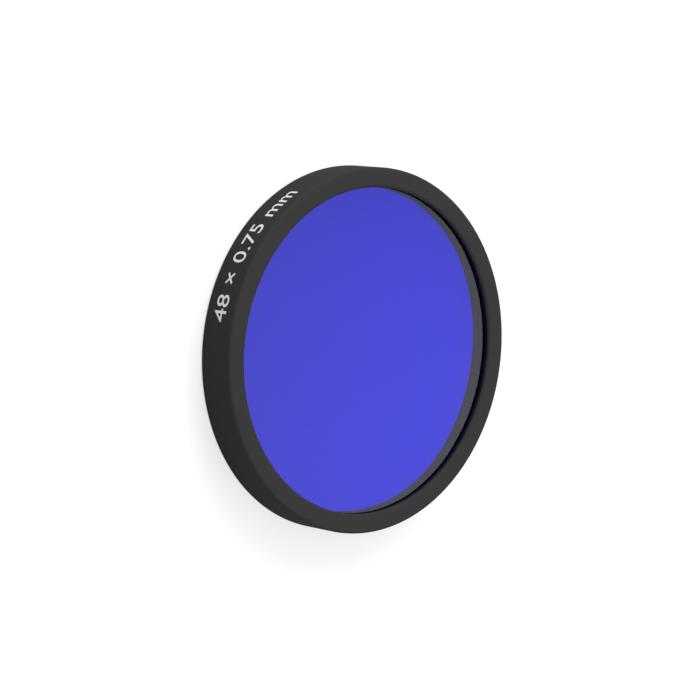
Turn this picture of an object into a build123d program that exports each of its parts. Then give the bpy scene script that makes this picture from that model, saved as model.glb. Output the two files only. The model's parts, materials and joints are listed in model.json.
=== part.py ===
from build123d import *
import os

# A telescope colour filter: a turned cell, a plane glass disc and the threaded ring that holds it.
# Lengths are in millimetres. The filter lies on its rear face, at Z = 0, and its front face, with
# the lip over the glass, looks up. Z is the optical axis.

# The accessory thread in the rear mouth sets the radial sizes, through the walls and steps below
thread_diameter = 48.0
rim_wall = 1.25
ring_step = 0.5
pocket_step = 0.3
glass_overlap = 0.6

# Heights, from the front face down
lip_thickness = 0.8
glass_thickness = 2.0
ring_thickness = 1.2
ring_recess = 0.2
thread_depth = 1.8

# Clearances between the pieces
glass_clearance = 0.1
ring_clearance = 0.05
ring_seat_gap = 0.1

# Broken edges
front_edge_round = 0.4
aperture_edge_round = 0.4
rear_edge_chamfer = 0.3
mouth_chamfer = 0.2
glass_chamfer = 0.15
ring_edge_chamfer = 0.1

# Spanner slots across the rear face of the retaining ring
slot_count = 2
slot_width = 1.2
slot_depth = 0.6

# Radii that follow from the thread
thread_radius = thread_diameter / 2
outer_radius = thread_radius + rim_wall
ring_bore_radius = thread_radius - ring_step
pocket_radius = ring_bore_radius - pocket_step
glass_radius = pocket_radius - glass_clearance
aperture_radius = glass_radius - glass_overlap
ring_outer_radius = ring_bore_radius - ring_clearance

# Levels that follow from the heights, from the rear face up
ring_rear_z = thread_depth + ring_recess
glass_rear_z = ring_rear_z + ring_thickness
glass_front_z = glass_rear_z + glass_thickness
front_z = glass_front_z + lip_thickness
pocket_rear_z = glass_rear_z + ring_seat_gap

def corner(section, radius, z):
    """Return the corner of a section nearest to a radius and a level."""
    return section.vertices().sort_by_distance((radius, z, 0))[0]


def make_filter_cell():
    """Return the cell: rim, front lip, glass pocket, seat of the ring and threaded mouth."""
    with BuildSketch(Plane.XZ) as section:
        with BuildLine():
            Polyline(
                (aperture_radius, front_z),
                (outer_radius, front_z),
                (outer_radius, 0),
                (thread_radius, 0),
                (thread_radius, thread_depth),
                (ring_bore_radius, thread_depth),
                (ring_bore_radius, pocket_rear_z),
                (pocket_radius, pocket_rear_z),
                (pocket_radius, glass_front_z),
                (aperture_radius, glass_front_z),
                close=True,
            )
        make_face()
        fillet(corner(section, outer_radius, front_z), front_edge_round)
        fillet(corner(section, aperture_radius, front_z), aperture_edge_round)
        chamfer(corner(section, outer_radius, 0), rear_edge_chamfer)
        chamfer(corner(section, thread_radius, 0), mouth_chamfer)
    return revolve(section.sketch, axis=Axis.Z)


def make_filter_glass():
    """Return the glass disc, face to face with the lip, with both its edges broken."""
    with BuildSketch(Plane.XZ) as section:
        with Locations((glass_radius / 2, glass_rear_z + glass_thickness / 2)):
            Rectangle(glass_radius, glass_thickness)
        chamfer(corner(section, glass_radius, glass_rear_z), glass_chamfer)
        chamfer(corner(section, glass_radius, glass_front_z), glass_chamfer)
    return revolve(section.sketch, axis=Axis.Z)


def make_retaining_ring():
    """Return the threaded ring, face to face with the glass, with its spanner slots."""
    width = ring_outer_radius - aperture_radius
    middle_radius = aperture_radius + width / 2
    with BuildSketch(Plane.XZ) as section:
        with Locations((middle_radius, ring_rear_z + ring_thickness / 2)):
            Rectangle(width, ring_thickness)
        chamfer(section.vertices(), ring_edge_chamfer)
    ring = revolve(section.sketch, axis=Axis.Z)
    slot = Pos(0, 0, ring_rear_z) * Box(
        2 * width, slot_width, slot_depth, align=(Align.CENTER, Align.CENTER, Align.MIN)
    )
    for place in PolarLocations(middle_radius, slot_count):
        ring -= place * slot
    return ring


PARTS = {
    "filter_cell": make_filter_cell,
    "filter_glass": make_filter_glass,
    "retaining_ring": make_retaining_ring,
}


def main():
    """Write each piece to a STEP file of its own name."""
    os.makedirs("parts", exist_ok=True)
    for name, make in PARTS.items():
        export_step(make(), f"parts/{name}.step")


main()
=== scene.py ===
import json
import logging
import math
from dataclasses import dataclass
from enum import Enum
from typing import Any

import bmesh
import bpy
from mathutils import Matrix, Vector


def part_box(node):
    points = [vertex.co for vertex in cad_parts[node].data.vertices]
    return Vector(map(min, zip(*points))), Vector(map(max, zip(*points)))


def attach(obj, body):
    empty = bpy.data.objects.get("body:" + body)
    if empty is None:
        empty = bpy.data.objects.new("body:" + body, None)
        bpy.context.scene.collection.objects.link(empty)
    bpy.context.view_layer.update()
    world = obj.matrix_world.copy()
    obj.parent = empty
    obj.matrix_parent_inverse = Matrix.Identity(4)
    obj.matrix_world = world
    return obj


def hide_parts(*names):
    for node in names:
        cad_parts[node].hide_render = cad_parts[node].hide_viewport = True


# A telescope colour filter that lies on its rear face. The frame holds the turned cell, the
# glass and the retaining ring. This script turns the cell and the glass again in finer steps,
# dresses all three, adds the fine thread and the size figure on the rim, and sets the studio
# and the camera. Lengths are in metres.
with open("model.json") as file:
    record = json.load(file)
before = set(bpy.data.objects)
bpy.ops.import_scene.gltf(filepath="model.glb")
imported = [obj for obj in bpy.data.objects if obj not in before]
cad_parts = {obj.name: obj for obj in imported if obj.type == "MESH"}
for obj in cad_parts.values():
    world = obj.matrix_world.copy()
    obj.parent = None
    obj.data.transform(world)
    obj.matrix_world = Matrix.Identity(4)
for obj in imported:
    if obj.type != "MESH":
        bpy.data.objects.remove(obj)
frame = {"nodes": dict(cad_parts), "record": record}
log = logging.getLogger("filter")

MM = 0.001
BODY = "root"
OPENING_RADIUS_MM = 22.5

# A Mix node keeps a pair of inputs for each kind of value. These are the ones used here.
FACTOR, NUMBER_A, NUMBER_B, COLOUR_A, COLOUR_B = 0, 2, 3, 6, 7
COLOUR_OUT = 2


class Node(str, Enum):
    """The names of the frame's nodes."""

    CELL = "filter_cell"
    GLASS = "filter_glass"
    RING = "retaining_ring"


def linear(hex_colour: str) -> tuple[float, float, float, float]:
    """Turn an sRGB hex colour into linear numbers.

    Args:
        hex_colour: Six hex digits, with or without a leading #.

    Returns:
        Red, green, blue and an alpha of 1.
    """
    digits = hex_colour.lstrip("#")
    shares = [int(digits[i : i + 2], 16) / 255 for i in (0, 2, 4)]
    curve = [s / 12.92 if s <= 0.04045 else ((s + 0.055) / 1.055) ** 2.4 for s in shares]
    return (curve[0], curve[1], curve[2], 1.0)


def add_node(
    tree: bpy.types.NodeTree,
    kind: str,
    values: dict[str | int, Any] | None = None,
    links: dict[str | int, bpy.types.NodeSocket] | None = None,
    **settings: Any,
) -> bpy.types.Node:
    """Add a node with its settings, values and links.

    Args:
        tree: The node tree that gets the node.
        kind: The node's Blender type.
        values: Socket values by socket name or number.
        links: Output sockets to link from, by input name or number.
        settings: The node's own attributes.

    Returns:
        The new node.
    """
    node = tree.nodes.new(kind)
    for name, value in settings.items():
        setattr(node, name, value)
    for key, value in (values or {}).items():
        node.inputs[key].default_value = value
    for key, socket in (links or {}).items():
        tree.links.new(socket, node.inputs[key])
    return node


def mount(name: str) -> dict[str, Any]:
    """Return the record's mount of that name."""
    return next(entry for entry in frame["record"]["mounts"] if entry["name"] == name)


def direction(azimuth: float, elevation: float) -> Vector:
    """Turn two angles into a direction.

    Args:
        azimuth: Degrees round from +X towards +Y.
        elevation: Degrees above the floor.

    Returns:
        A vector of length 1.
    """
    turn, rise = math.radians(azimuth), math.radians(elevation)
    return Vector(
        (math.cos(rise) * math.cos(turn), math.cos(rise) * math.sin(turn), math.sin(rise))
    )


def new_material(name: str) -> tuple[bpy.types.Material, bpy.types.NodeTree]:
    """Make a material with an empty node tree.

    Args:
        name: The material's name.

    Returns:
        The material and its node tree.
    """
    material = bpy.data.materials.new(name)
    material.use_nodes = True
    material.node_tree.nodes.clear()
    return material, material.node_tree


def new_object(
    name: str, mesh: bmesh.types.BMesh, smooth: bool, faces_out: bool = False
) -> bpy.types.Object:
    """Turn a bmesh into an object in the scene, with its normals outward.

    Args:
        name: The object's and the mesh's name.
        mesh: The finished bmesh, which is freed.
        smooth: Whether its faces are shaded smooth.
        faces_out: Whether its faces already point outward, as on a film too thin to tell.

    Returns:
        The new object, at the origin.
    """
    if not faces_out:
        bmesh.ops.recalc_face_normals(mesh, faces=mesh.faces)
    for face in mesh.faces:
        face.smooth = smooth
    data = bpy.data.meshes.new(name)
    mesh.to_mesh(data)
    mesh.free()
    piece = bpy.data.objects.new(name, data)
    bpy.context.scene.collection.objects.link(piece)
    return piece


@dataclass(frozen=True)
class PaintedWallShade:
    """Painted shade on the wall of an opening: a dark, matt colour with a blue cast that stands in
    for the shade in the recess.
    """

    colour: str
    roughness: float
    radius_mm: float
    feather_mm: float


@dataclass(frozen=True)
class BlackAnodising:
    """Black anodised aluminium, turned and finely blasted before the dye.

    The dyed oxide is a dark, dull skin with a weak sheen. It keeps a trace of the lathe's rings,
    which follow the radius on a flat face and the height on a wall, under the blasted grain.
    """

    name: str
    colour: str
    thin_colour: str
    sheen: float
    roughness: float
    roughness_spread: float
    ring_pitch_mm: float
    ring_depth_mm: float
    grain_mm: float
    grain_depth_mm: float
    # Painted shade on the wall of an opening, where its recess lies in shade.
    paint: PaintedWallShade | None = None
    ring_detail: float = 1.0
    grain_detail: float = 2.0

    def build(self) -> bpy.types.Material:
        """Build the skin, with its rings and grain in Object coordinates.

        Returns:
            The material.
        """
        material, tree = new_material(self.name)
        place = add_node(tree, "ShaderNodeTexCoord").outputs["Object"]
        axes = add_node(tree, "ShaderNodeSeparateXYZ", links={0: place}).outputs
        flat = add_node(tree, "ShaderNodeCombineXYZ", links={"X": axes["X"], "Y": axes["Y"]})
        radius = add_node(
            tree, "ShaderNodeVectorMath", links={0: flat.outputs[0]}, operation="LENGTH"
        ).outputs["Value"]
        along = add_node(
            tree, "ShaderNodeMath", links={0: radius, 1: axes["Z"]}, operation="ADD"
        ).outputs[0]
        rings = add_node(
            tree,
            "ShaderNodeTexNoise",
            values={"Scale": 1 / (self.ring_pitch_mm * MM), "Detail": self.ring_detail},
            links={"W": along},
            noise_dimensions="1D",
        ).outputs["Fac"]
        grain = add_node(
            tree,
            "ShaderNodeTexNoise",
            values={"Scale": 1 / (self.grain_mm * MM), "Detail": self.grain_detail},
            links={"Vector": place},
        ).outputs["Fac"]
        turned = add_node(
            tree,
            "ShaderNodeBump",
            values={"Strength": 1.0, "Distance": self.ring_depth_mm * MM},
            links={"Height": rings},
        )
        etched = add_node(
            tree,
            "ShaderNodeBump",
            values={"Strength": 1.0, "Distance": self.grain_depth_mm * MM},
            links={"Height": grain, "Normal": turned.outputs[0]},
        )
        rough = add_node(
            tree,
            "ShaderNodeMapRange",
            values={
                "To Min": self.roughness - self.roughness_spread,
                "To Max": self.roughness + self.roughness_spread,
            },
            links={"Value": grain},
        ).outputs[0]
        skin = add_node(
            tree,
            "ShaderNodeMix",
            values={COLOUR_A: linear(self.thin_colour), COLOUR_B: linear(self.colour)},
            links={FACTOR: grain},
            data_type="RGBA",
        ).outputs[COLOUR_OUT]
        # Lay the painted shade, dark with a blue cast, on the wall of the opening.
        if self.paint is not None:
            skin, rough = self._paint_wall_shade(tree, radius, skin, rough)
        shader = add_node(
            tree,
            "ShaderNodeBsdfPrincipled",
            values={"Specular IOR Level": self.sheen},
            links={"Base Color": skin, "Roughness": rough, "Normal": etched.outputs[0]},
        )
        add_node(tree, "ShaderNodeOutputMaterial", links={"Surface": shader.outputs[0]})
        return material

    def _paint_wall_shade(
        self,
        tree: bpy.types.NodeTree,
        radius: bpy.types.NodeSocket,
        skin: bpy.types.NodeSocket,
        rough: bpy.types.NodeSocket,
    ) -> tuple[bpy.types.NodeSocket, bpy.types.NodeSocket]:
        """Lay the painted shade over the skin, on the wall of the opening only.

        Args:
            tree: The material's node tree.
            radius: The distance from the optical axis.
            skin: The bare skin's colour.
            rough: The bare skin's roughness.

        Returns:
            The colour and the roughness, with the painted shade where it lies.
        """
        edge = self.paint.radius_mm * MM
        shade_mask = add_node(
            tree,
            "ShaderNodeMapRange",
            values={
                "From Min": edge,
                "From Max": edge + self.paint.feather_mm * MM,
                "To Min": 1.0,
                "To Max": 0.0,
            },
            links={"Value": radius},
        ).outputs[0]
        colour = add_node(
            tree,
            "ShaderNodeMix",
            values={COLOUR_B: linear(self.paint.colour)},
            links={FACTOR: shade_mask, COLOUR_A: skin},
            data_type="RGBA",
        ).outputs[COLOUR_OUT]
        roughness = add_node(
            tree,
            "ShaderNodeMix",
            values={NUMBER_B: self.paint.roughness},
            links={FACTOR: shade_mask, NUMBER_A: rough},
        ).outputs[0]
        return colour, roughness


@dataclass(frozen=True)
class DyedGlass:
    """Optical glass dyed in the mass and polished: only blue passes, and both faces mirror."""

    name: str
    colour: str
    ior: float
    roughness: float

    def build(self) -> bpy.types.Material:
        """Build the glass: clear, smooth and blue.

        Returns:
            The material.
        """
        material, tree = new_material(self.name)
        shader = add_node(
            tree,
            "ShaderNodeBsdfPrincipled",
            values={
                "Base Color": linear(self.colour),
                "Roughness": self.roughness,
                "IOR": self.ior,
                "Transmission Weight": 1.0,
            },
        )
        add_node(tree, "ShaderNodeOutputMaterial", links={"Surface": shader.outputs[0]})
        return material


@dataclass(frozen=True)
class GroundEdge:
    """The disc's ground edge, inked black against stray light: a dull, fine-grained band."""

    name: str
    colour: str
    roughness: float
    grit_mm: float
    grit_depth_mm: float
    grit_detail: float = 2.0

    def build(self) -> bpy.types.Material:
        """Build the inked edge, with the grit's grain as bump.

        Returns:
            The material.
        """
        material, tree = new_material(self.name)
        place = add_node(tree, "ShaderNodeTexCoord").outputs["Object"]
        grit = add_node(
            tree,
            "ShaderNodeTexNoise",
            values={"Scale": 1 / (self.grit_mm * MM), "Detail": self.grit_detail},
            links={"Vector": place},
        ).outputs["Fac"]
        bump = add_node(
            tree,
            "ShaderNodeBump",
            values={"Strength": 1.0, "Distance": self.grit_depth_mm * MM},
            links={"Height": grit},
        )
        shader = add_node(
            tree,
            "ShaderNodeBsdfPrincipled",
            values={"Base Color": linear(self.colour), "Roughness": self.roughness},
            links={"Normal": bump.outputs[0]},
        )
        add_node(tree, "ShaderNodeOutputMaterial", links={"Surface": shader.outputs[0]})
        return material


@dataclass(frozen=True)
class PrintingInk:
    """Pad-printed white ink: a thin, even film, a little greyer where it lies thin."""

    name: str
    colour: str
    thin_colour: str
    roughness: float
    mottle_mm: float
    mottle_detail: float = 3.0

    def build(self) -> bpy.types.Material:
        """Build the ink, mottled as a printed film is.

        Returns:
            The material.
        """
        material, tree = new_material(self.name)
        place = add_node(tree, "ShaderNodeTexCoord").outputs["Object"]
        mottle = add_node(
            tree,
            "ShaderNodeTexNoise",
            values={"Scale": 1 / (self.mottle_mm * MM), "Detail": self.mottle_detail},
            links={"Vector": place},
        ).outputs["Fac"]
        film = add_node(
            tree,
            "ShaderNodeMix",
            values={COLOUR_A: linear(self.thin_colour), COLOUR_B: linear(self.colour)},
            links={FACTOR: mottle},
            data_type="RGBA",
        )
        shader = add_node(
            tree,
            "ShaderNodeBsdfPrincipled",
            values={"Roughness": self.roughness},
            links={"Base Color": film.outputs[COLOUR_OUT]},
        )
        add_node(tree, "ShaderNodeOutputMaterial", links={"Surface": shader.outputs[0]})
        return material


# Aluminium, turned, blasted and then anodised black. The eye sees an even, dull black-grey
# with no bright edge and a fine grain close up. The wall of the opening has painted shade: a
# darker colour with a blue cast, which stands in for the shade in the recess and the glass's
# blue light on it. The real grain is about 0.05 mm wide and the lathe's rings about 0.1 mm
# apart. Both are drawn coarser, so that they show.
CELL_FINISH_AND_WALL_SHADE = BlackAnodising(
    name="black anodised aluminium, blasted, with painted wall shade",
    colour="#383838",
    thin_colour="#3B3B3B",
    sheen=0.02,
    roughness=0.6,
    roughness_spread=0.06,
    ring_pitch_mm=0.22,
    ring_depth_mm=0.003,
    grain_mm=0.3,
    grain_depth_mm=0.004,
    # Painted shade: the wall of the opening is darker and bluish, as the recess lies in shade.
    paint=PaintedWallShade(
        colour="#1C1E2A", roughness=0.9, radius_mm=OPENING_RADIUS_MM, feather_mm=0.012
    ),
)

# Aluminium, anodised black straight from the lathe. Its colour is painted light: a lighter,
# bluish copy of the cell's black that stands in for the light on the crescent seen through the
# glass. It is silkier than the cell. Its rings are drawn coarser too.
RING_FINISH_PAINTED_LIGHT = BlackAnodising(
    name="black anodised aluminium, turned, painted lighter",
    colour="#525258",
    thin_colour="#58585F",
    sheen=0.2,
    roughness=0.5,
    roughness_spread=0.06,
    ring_pitch_mm=0.2,
    ring_depth_mm=0.006,
    grain_mm=0.3,
    grain_depth_mm=0.003,
)

# Optical glass, dyed in the mass and polished. The eye sees the floor through it in a clear,
# deep blue, with a pale mirror image of the window and of the lip's edge in its front face.
GLASS_FINISH = DyedGlass(name="polished blue glass", colour="#0303D0", ior=1.52, roughness=0.0)

# Glass ground with a wheel and inked black. It stops the blue from glowing round the disc.
# The real grit leaves a grain of about 0.03 mm, which is drawn coarser.
EDGE_FINISH = GroundEdge(
    name="ground glass edge, inked",
    colour="#141416",
    roughness=0.8,
    grit_mm=0.12,
    grit_depth_mm=0.01,
)

# White ink, pad-printed. The eye sees flat, chalky white, a little greyer in patches.
INK_FINISH = PrintingInk(
    name="white printing ink",
    colour="#FAFAFA",
    thin_colour="#ECECEC",
    roughness=0.6,
    mottle_mm=0.4,
)

Finish = BlackAnodising | DyedGlass | GroundEdge | PrintingInk


def material_of(finish: Finish) -> bpy.types.Material:
    """Return the finish's material, which is built only once."""
    return bpy.data.materials.get(finish.name) or finish.build()


@dataclass
class TurnedCell:
    """The turned ring: rim, front lip, glass pocket, seat of the retaining ring, rear mouth.

    It has the frame's own form in finer steps, so that the outline and the lip's mirror image in
    the glass run smooth. Its bore fits round the frame's glass and ring, with these clearances.
    """

    opening_radius: float = OPENING_RADIUS_MM * MM
    glass_clearance: float = 0.1 * MM
    ring_clearance: float = 0.05 * MM
    ring_seat_gap: float = 0.1 * MM
    ring_recess: float = 0.2 * MM
    front_round: float = 0.4 * MM
    rear_chamfer: float = 0.3 * MM
    mouth_chamfer: float = 0.2 * MM
    round_segments: int = 8
    turn_segments: int = 384
    sharp_degrees: float = 30.0

    def build(self) -> bpy.types.Object:
        """Spin the section and break its edges.

        Returns:
            The cell, which stands for the frame's own.
        """
        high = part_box(Node.CELL.value)[1]
        mouth = mount("rear_thread")["dims"]["r_mm"] * MM
        body = bmesh.new()
        verts = [body.verts.new((radius, 0, z)) for radius, z in self._section(high, mouth)]
        edges = [body.edges.new(pair) for pair in zip(verts, verts[1:] + verts[:1])]
        bmesh.ops.spin(
            body,
            geom=[*verts, *edges],
            axis=(0, 0, 1),
            angle=math.tau,
            steps=self.turn_segments,
            use_merge=True,
        )
        self._break_edge(body, self.opening_radius, high.z, self.front_round, self.round_segments)
        self._break_edge(body, high.x, high.z, self.front_round, self.round_segments)
        self._break_edge(body, high.x, 0, self.rear_chamfer, 1)
        self._break_edge(body, mouth, 0, self.mouth_chamfer, 1)
        piece = new_object("turned_cell", body, smooth=True)
        piece.data.set_sharp_from_angle(angle=math.radians(self.sharp_degrees))
        piece.data.materials.append(material_of(CELL_FINISH_AND_WALL_SHADE))
        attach(piece, BODY)
        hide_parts(Node.CELL.value)
        return piece

    def _section(self, high: Vector, mouth: float) -> list[tuple[float, float]]:
        """Work out the section's corners, from the opening's front edge round to its rear.

        Args:
            high: The cell's highest corner.
            mouth: The radius of the rear mouth's wall.

        Returns:
            A radius and a height for each corner.
        """
        glass_low, glass_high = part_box(Node.GLASS.value)
        ring_low, ring_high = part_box(Node.RING.value)
        shoulder = ring_low.z - self.ring_recess
        seat = ring_high.x + self.ring_clearance
        ledge = glass_low.z + self.ring_seat_gap
        pocket = glass_high.x + self.glass_clearance
        return [
            (self.opening_radius, high.z),
            (high.x, high.z),
            (high.x, 0),
            (mouth, 0),
            (mouth, shoulder),
            (seat, shoulder),
            (seat, ledge),
            (pocket, ledge),
            (pocket, glass_high.z),
            (self.opening_radius, glass_high.z),
        ]

    def _break_edge(
        self, body: bmesh.types.BMesh, radius: float, height: float, width: float, steps: int
    ) -> None:
        """Bevel one of the cell's round edges.

        Args:
            body: The spun cell, changed in place.
            radius: The edge's radius.
            height: The edge's level above the rear face.
            width: How far the bevel reaches along both faces.
            steps: One for a chamfer, more for a round.
        """
        near = 0.01 * MM
        ring = [
            edge
            for edge in body.edges
            if all(
                abs(vert.co.z - height) < near and abs(vert.co.xy.length - radius) < near
                for vert in edge.verts
            )
        ]
        bmesh.ops.bevel(
            body,
            geom=ring,
            offset=width,
            offset_type="OFFSET",
            affect="EDGES",
            segments=steps,
            profile=0.5,
            material=-1,
        )


@dataclass
class FilterGlass:
    """The plane disc of blue glass, polished on both faces and ground round its edge."""

    chamfer: float = 0.15 * MM
    segments: int = 256

    def build(self) -> bpy.types.Object:
        """Build the disc in the frame's own place and dress it.

        Returns:
            The glass, which stands for the frame's disc.
        """
        low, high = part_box(Node.GLASS.value)
        disc = bmesh.new()
        bmesh.ops.create_circle(disc, cap_ends=True, segments=self.segments, radius=high.x)
        bmesh.ops.translate(disc, verts=disc.verts, vec=(0, 0, low.z))
        raised = bmesh.ops.extrude_face_region(disc, geom=disc.faces[:])
        top = [v for v in raised["geom"] if isinstance(v, bmesh.types.BMVert)]
        bmesh.ops.translate(disc, verts=top, vec=(0, 0, high.z - low.z))
        flats = {f for f in disc.faces if len(f.verts) == self.segments}
        rims = [e for e in disc.edges if any(f in flats for f in e.link_faces)]
        bmesh.ops.bevel(
            disc,
            geom=rims,
            offset=self.chamfer,
            offset_type="OFFSET",
            affect="EDGES",
            segments=1,
            profile=0.5,
            material=-1,
        )
        for face in disc.faces:
            face.material_index = 0 if len(face.verts) == self.segments else 1
        piece = new_object("blue_glass", disc, smooth=False)
        piece.data.materials.append(material_of(GLASS_FINISH))
        piece.data.materials.append(material_of(EDGE_FINISH))
        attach(piece, BODY)
        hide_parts(Node.GLASS.value)
        return piece


@dataclass
class MouthThread:
    """The 48 x 0.75 mm thread in the cell's rear mouth, as one helical ridge on its wall.

    The ridge has the flat-topped section of a metric thread, whose sharp triangle is cut to five
    eighths of its height and to a crest an eighth of the pitch wide on each side of its middle.
    """

    pitch: float = 0.75 * MM
    depth_share: float = 5 / 8
    half_crest_share: float = 1 / 8
    flank_degrees: float = 30.0
    sunk: float = 0.04 * MM
    cone_sunk: float = 0.02 * MM
    face_gap: float = 0.01 * MM
    start_degrees: float = 180.0
    steps_in_turn: int = 180
    run_out_steps: int = 20

    def build(self) -> bpy.types.Object:
        """Build the ridge from the mouth up to the shoulder, on the wall that the mount names.

        Returns:
            The ridge, which rides beside the cell.
        """
        wall = mount("rear_thread")
        radius, half_length = wall["dims"]["r_mm"] * MM, wall["dims"]["length_mm"] * MM / 2
        mouth, shoulder = (wall["pos_m"][2] + side * half_length for side in (-1, 1))
        flank = math.tan(math.radians(self.flank_degrees))
        crest = radius - self.pitch / 2 / flank * self.depth_share
        foot = radius + self.sunk
        half_crest = self.pitch * self.half_crest_share
        half_foot = half_crest + (foot - crest) * flank
        ridge = bmesh.new()
        section = [(foot, -half_foot), (crest, -half_crest), (crest, half_crest), (foot, half_foot)]
        verts = [ridge.verts.new((r, 0, z)) for r, z in section]
        face = ridge.faces.new(verts)
        bmesh.ops.rotate(
            ridge, verts=verts, matrix=Matrix.Rotation(math.radians(self.start_degrees), 3, "Z")
        )
        steps = round(shoulder / self.pitch * self.steps_in_turn)
        bmesh.ops.spin(
            ridge,
            geom=[*verts, *face.edges, face],
            axis=(0, 0, 1),
            dvec=(0, 0, shoulder / steps),
            angle=math.tau * shoulder / self.pitch,
            steps=steps,
            use_merge=False,
        )
        self._sink(ridge, foot, radius + mouth + self.cone_sunk, steps)
        piece = new_object("mouth_thread", ridge, smooth=False)
        piece.data.materials.append(material_of(CELL_FINISH_AND_WALL_SHADE))
        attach(piece, BODY)
        return piece

    def _sink(self, ridge: bmesh.types.BMesh, foot: float, cone: float, steps: int) -> None:
        """Sink the ridge into the mouth's chamfer, and fade it out at its inner end.

        Args:
            ridge: The ridge, changed in place.
            foot: The radius of the ridge's foot, inside the wall.
            cone: The radius at which the chamfer's cone meets the rear face.
            steps: How many steps the helix has.
        """
        ridge.verts.ensure_lookup_table()
        in_section = len(ridge.verts) // (steps + 1)
        for vert in ridge.verts:
            radius = vert.co.xy.length
            left = steps - vert.index // in_section
            fade = max(0.0, 1 - left / self.run_out_steps)
            sunk = max(radius + (foot - radius) * fade, cone - vert.co.z)
            vert.co.xy *= sunk / radius
            vert.co.z = max(vert.co.z, self.face_gap)


@dataclass
class SizeFigure:
    """The size figure printed on the rim: white figures that read round it, tops to the rear."""

    text: str = "48 × 0.75 mm"
    length: float = 21.7 * MM
    height: float = 2.35 * MM
    middle_degrees: float = 242.9
    middle_height: float = 3.1 * MM
    film: float = 0.012 * MM
    sunk: float = 0.03 * MM
    slice_width: float = 0.3 * MM
    weld: float = 0.001 * MM
    slab_half_depth: float = 0.5

    def build(self) -> bpy.types.Object:
        """Build the figures flat, cut them into narrow slices and wrap them round the rim.

        The faces are turned outward while the slab is still deep, because the wrapped film is
        too thin for that.

        Returns:
            The printed film, which rides beside the cell.
        """
        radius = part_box(Node.CELL.value)[1].x
        film = self._flat_figures()
        sliced = bmesh.new()
        sliced.from_mesh(film)
        bpy.data.meshes.remove(film)
        for i in range(1, math.ceil(self.length / self.slice_width)):
            bmesh.ops.bisect_plane(
                sliced,
                geom=[*sliced.verts, *sliced.edges, *sliced.faces],
                plane_co=(i * self.slice_width - self.length / 2, 0, 0),
                plane_no=(1, 0, 0),
            )
        bmesh.ops.remove_doubles(sliced, verts=sliced.verts, dist=self.weld)
        bmesh.ops.dissolve_degenerate(sliced, edges=sliced.edges, dist=self.weld)
        bmesh.ops.recalc_face_normals(sliced, faces=sliced.faces)
        for vert in sliced.verts:
            reach = radius + self.film if vert.co.z > 0 else radius - self.sunk
            turn = math.radians(self.middle_degrees) - vert.co.x / radius
            rise = self.middle_height - vert.co.y
            vert.co = (reach * math.cos(turn), reach * math.sin(turn), rise)
        piece = new_object("size_figure", sliced, smooth=False, faces_out=True)
        piece.data.materials.append(material_of(INK_FINISH))
        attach(piece, BODY)
        return piece

    def _flat_figures(self) -> bpy.types.Mesh:
        """Build the figures as a flat slab of the wanted length and height.

        Returns:
            The slab's mesh, centred on the origin and as deep as slab_half_depth to each side.
        """
        curve = bpy.data.curves.new("figures", "FONT")
        curve.body = self.text
        curve.align_x = "CENTER"
        curve.extrude = self.slab_half_depth
        holder = bpy.data.objects.new("figures", curve)
        bpy.context.scene.collection.objects.link(holder)
        graph = bpy.context.evaluated_depsgraph_get()
        slab = bpy.data.meshes.new_from_object(holder.evaluated_get(graph))
        bpy.data.objects.remove(holder)
        bpy.data.curves.remove(curve)
        xs, ys = ([vert.co[axis] for vert in slab.vertices] for axis in (0, 1))
        slab.transform(
            Matrix.Diagonal(
                (self.length / (max(xs) - min(xs)), self.height / (max(ys) - min(ys)), 1, 1)
            )
            @ Matrix.Translation((-(max(xs) + min(xs)) / 2, -(max(ys) + min(ys)) / 2, 0))
        )
        return slab


@dataclass
class RetainingRing:
    """The slotted ring that holds the glass, which keeps the frame's own shape."""

    def build(self) -> bpy.types.Object:
        """Give the ring its black anodising, made lighter and bluish as painted light.

        Returns:
            The frame's own ring.
        """
        piece = frame["nodes"][Node.RING.value]
        for slot in piece.material_slots:
            slot.material = material_of(RING_FINISH_PAINTED_LIGHT)
        return piece


@dataclass
class Softbox:
    """A square soft lamp that looks at the filter, with its angles in degrees."""

    name: str
    azimuth: float
    elevation: float
    distance: float
    side: float
    radiance: float

    def build(self) -> bpy.types.Object:
        """Build the lamp, with its power worked out from its radiance and area.

        Returns:
            The lamp's object.
        """
        lamp = bpy.data.lights.new(self.name, "AREA")
        lamp.shape = "SQUARE"
        lamp.size = self.side
        lamp.energy = self.radiance * math.pi * self.side**2
        toward = direction(self.azimuth, self.elevation)
        holder = bpy.data.objects.new(self.name, lamp)
        holder.location = toward * self.distance
        holder.rotation_euler = toward.to_track_quat("Z", "Y").to_euler()
        bpy.context.scene.collection.objects.link(holder)
        return holder


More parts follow.
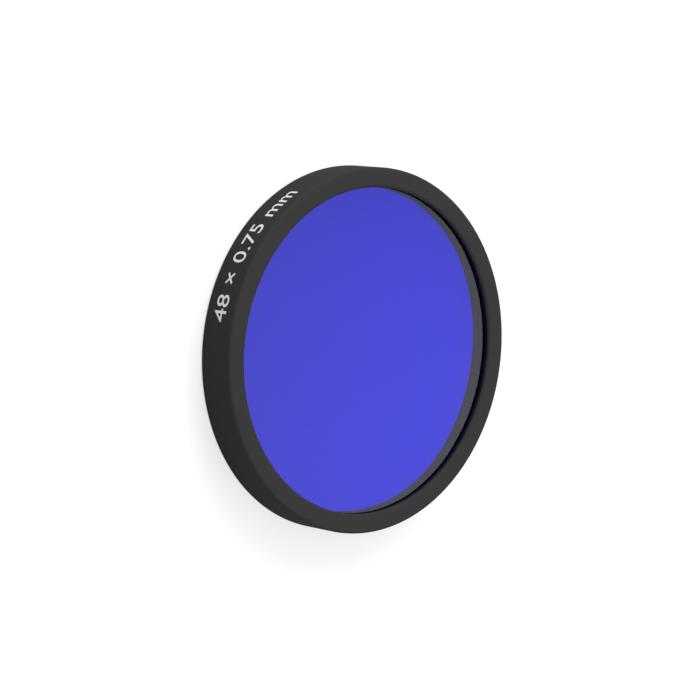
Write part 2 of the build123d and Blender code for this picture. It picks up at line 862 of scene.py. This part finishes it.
@dataclass
class Surround:
    """The pale room, with one large soft window that the glass mirrors.

    The window fades out between window_core and window_edge degrees from its middle.
    """

    level: float = 0.65
    window_level: float = 1.5
    window_azimuth: float = 72.0
    window_elevation: float = 46.0
    window_core: float = 10.0
    window_edge: float = 22.0

    def build(self) -> None:
        """Light the scene from all round, and show white to the eye and through the glass."""
        world = bpy.data.worlds.new("surround")
        bpy.context.scene.world = world
        world.use_nodes = True
        tree = world.node_tree
        tree.nodes.clear()
        way = add_node(tree, "ShaderNodeTexCoord").outputs["Generated"]
        near = add_node(
            tree,
            "ShaderNodeVectorMath",
            values={1: direction(self.window_azimuth, self.window_elevation)},
            links={0: way},
            operation="DOT_PRODUCT",
        ).outputs["Value"]
        room = add_node(
            tree,
            "ShaderNodeMapRange",
            values={
                "From Min": math.cos(math.radians(self.window_edge)),
                "From Max": math.cos(math.radians(self.window_core)),
                "To Min": self.level,
                "To Max": self.window_level,
            },
            links={"Value": near},
            interpolation_type="SMOOTHSTEP",
        ).outputs[0]
        path = add_node(tree, "ShaderNodeLightPath").outputs
        white = add_node(
            tree,
            "ShaderNodeMath",
            links={0: path["Is Camera Ray"], 1: path["Is Transmission Ray"]},
            operation="MAXIMUM",
        ).outputs[0]
        level = add_node(
            tree, "ShaderNodeMix", values={NUMBER_B: 1.0}, links={FACTOR: white, NUMBER_A: room}
        )
        back = add_node(
            tree,
            "ShaderNodeBackground",
            values={"Color": (1, 1, 1, 1)},
            links={"Strength": level.outputs[0]},
        )
        add_node(tree, "ShaderNodeOutputWorld", links={"Surface": back.outputs[0]})


@dataclass
class Floor:
    """The white floor under the filter.

    It glows for the eye and for gloss. Through the glass its glow grows to the photograph's
    lower right, by slope_per_mm of itself along the direction slope_degrees from +X.
    """

    side: float = 4.0
    gap: float = 0.02 * MM
    albedo: float = 0.5
    camera_glow: float = 0.62
    glossy_glow: float = 0.1
    transmission_glow: float = 0.775
    slope_per_mm: float = 0.0102
    slope_degrees: float = 66.0
    slope_reach_mm: float = 40.0

    def build(self) -> bpy.types.Object:
        """Build the floor as one flat sheet, just under the filter.

        Returns:
            The floor, which isn't part of the object.
        """
        sheet = bmesh.new()
        bmesh.ops.create_grid(sheet, x_segments=1, y_segments=1, size=self.side / 2)
        bmesh.ops.translate(sheet, verts=sheet.verts, vec=(0, 0, -self.gap))
        floor = new_object("floor", sheet, smooth=False)
        floor.data.materials.append(self._sweep())
        return floor

    def _sweep(self) -> bpy.types.Material:
        """Build the floor's white, which glows for the eye, for gloss and through the glass.

        Returns:
            The material.
        """
        material, tree = new_material("white studio sweep")
        place = add_node(tree, "ShaderNodeTexCoord").outputs["Object"]
        turn = math.radians(self.slope_degrees)
        across = add_node(
            tree,
            "ShaderNodeVectorMath",
            values={1: (math.cos(turn), math.sin(turn), 0)},
            links={0: place},
            operation="DOT_PRODUCT",
        ).outputs["Value"]
        reach = self.slope_reach_mm
        through = add_node(
            tree,
            "ShaderNodeMapRange",
            values={
                "From Min": -reach * MM,
                "From Max": reach * MM,
                "To Min": self.transmission_glow * (1 - reach * self.slope_per_mm),
                "To Max": self.transmission_glow * (1 + reach * self.slope_per_mm),
            },
            links={"Value": across},
        ).outputs[0]
        path = add_node(tree, "ShaderNodeLightPath").outputs
        glow = add_node(
            tree,
            "ShaderNodeMath",
            links={0: path["Is Transmission Ray"], 1: through},
            operation="MULTIPLY",
        ).outputs[0]
        for output, strength in (
            ("Is Camera Ray", self.camera_glow),
            ("Is Glossy Ray", self.glossy_glow),
        ):
            share = add_node(
                tree,
                "ShaderNodeMath",
                values={1: strength},
                links={0: path[output]},
                operation="MULTIPLY",
            ).outputs[0]
            glow = add_node(
                tree, "ShaderNodeMath", links={0: glow, 1: share}, operation="MAXIMUM"
            ).outputs[0]
        light = add_node(tree, "ShaderNodeEmission", links={"Strength": glow})
        paint = add_node(
            tree,
            "ShaderNodeBsdfDiffuse",
            values={"Color": (self.albedo, self.albedo, self.albedo, 1)},
        )
        both = add_node(
            tree, "ShaderNodeAddShader", links={0: light.outputs[0], 1: paint.outputs[0]}
        )
        add_node(tree, "ShaderNodeOutputMaterial", links={"Surface": both.outputs[0]})
        material.cycles.emission_sampling = "NONE"
        return material


@dataclass
class Studio:
    """The floor, the room and one softbox over the filter's upper edge."""

    def build(self) -> None:
        """Build the floor, the room and the lamp."""
        Floor().build()
        Surround().build()
        Softbox(
            "key", azimuth=178, elevation=34, distance=0.6, side=0.4, radiance=4.8
        ).build()


@dataclass
class ProductCamera:
    """The photograph's camera: it looks down on the front face and is rolled to its frame."""

    off_axis_degrees: float = 42.09
    roll_degrees: float = 7.9
    distance_radii: float = 16.0
    right_radii: float = 0.1175
    down_radii: float = 0.0076
    pixels_per_radius: float = 184.04
    frame_pixels: float = 700.0
    sensor_mm: float = 36.0
    clip_start: float = 0.01

    def build(self) -> bpy.types.Object:
        """Place the camera from the measured tilt, roll and framing.

        Returns:
            The camera, which is made the scene's own.
        """
        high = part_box(Node.CELL.value)[1]
        radius, centre = high.x, Vector((0, 0, high.z))
        tilt, roll = math.radians(self.off_axis_degrees), math.radians(self.roll_degrees)
        side, rise = Vector((1, 0, 0)), Vector((0, math.cos(tilt), math.sin(tilt)))
        back = Vector((0, -math.sin(tilt), math.cos(tilt)))
        right = -math.sin(roll) * side + math.cos(roll) * rise
        up = -math.cos(roll) * side - math.sin(roll) * rise
        data = bpy.data.cameras.new("product camera")
        data.sensor_width = self.sensor_mm
        focal_pixels = self.pixels_per_radius * self.distance_radii
        data.lens = focal_pixels / self.frame_pixels * self.sensor_mm
        data.clip_start = self.clip_start
        holder = bpy.data.objects.new("product camera", data)
        holder.matrix_world = Matrix.Translation(
            centre
            + radius
            * (self.distance_radii * back - self.right_radii * right + self.down_radii * up)
        ) @ Matrix((right, up, back)).transposed().to_4x4()
        bpy.context.scene.collection.objects.link(holder)
        bpy.context.scene.camera = holder
        return holder


def main() -> None:
    """Build the camera, the pieces and the studio."""
    logging.basicConfig(level=logging.INFO, format="%(name)s: %(message)s")
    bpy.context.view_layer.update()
    bpy.context.scene.view_settings.view_transform = "Standard"
    ProductCamera().build()
    for maker in (TurnedCell(), FilterGlass(), RetainingRing(), MouthThread(), SizeFigure()):
        piece = maker.build()
        log.info("%s: %d faces", piece.name, len(piece.data.polygons))
    Studio().build()


if __name__ == "__main__":
    main()
